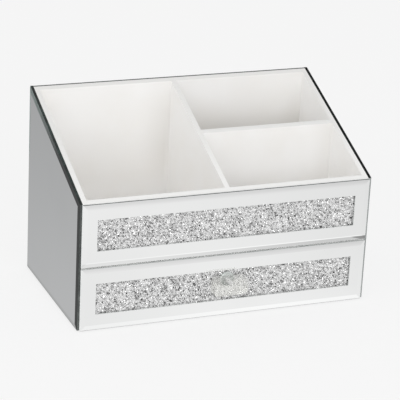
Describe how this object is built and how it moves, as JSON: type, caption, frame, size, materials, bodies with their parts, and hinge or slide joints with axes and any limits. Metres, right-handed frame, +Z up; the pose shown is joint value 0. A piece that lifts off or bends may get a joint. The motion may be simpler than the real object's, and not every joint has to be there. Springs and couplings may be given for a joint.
{
  "type": "makeup box",
  "caption": "Mirrored makeup box with open compartments under a sloping rim, and a crystal-fronted drawer that slides out by a clear knob.",
  "frame": {"origin": "middle of the underside, on the table, midway between the side mirrors and between the faces of the front mirrors and of the back mirror", "axes": "+Z up, +X to the right of someone facing the front, +Y from the front to the back"},
  "size_m": [0.27, 0.1642, 0.175],
  "materials": {
    "painted_board": "painted off-white, matt",
    "white_felt": "short felt",
    "grey_felt": "short felt",
    "mirror_glass": "silvered, polished",
    "crushed_crystal": "crushed, sparkling",
    "clear_crystal": "clear, polished",
    "polished_metal": "polished",
    "steel": "zinc plated"
  },
  "bodies": {
    "box": {"base_felt": "grey_felt", "base_board": "painted_board", "left_side_board": "painted_board", "right_side_board": "painted_board", "back_board": "painted_board", "compartment_floor": "painted_board", "upper_front_board": "painted_board", "long_divider": "painted_board", "cross_divider": "painted_board", "left_mat": "white_felt", "front_right_mat": "white_felt", "back_right_mat": "white_felt", "left_side_mirror": "mirror_glass", "right_side_mirror": "mirror_glass", "back_mirror": "mirror_glass", "upper_front_mirror": "mirror_glass", "upper_crystal_strip": "crushed_crystal"},
    "drawer": {"drawer_front_board": "painted_board", "drawer_bottom": "painted_board", "drawer_left_side": "painted_board", "drawer_right_side": "painted_board", "drawer_back": "painted_board", "drawer_mat": "white_felt", "drawer_front_mirror": "mirror_glass", "drawer_crystal_strip": "crushed_crystal", "knob_block": "clear_crystal", "knob_collar": "polished_metal", "knob_washer": "steel", "knob_screw": "steel"}
  },
  "joints": [
    {"name": "drawer_slide", "type": "slide", "parent": "box", "child": "drawer", "axis": [0, -1, 0], "range_m": [0, 0.11]}
  ]
}
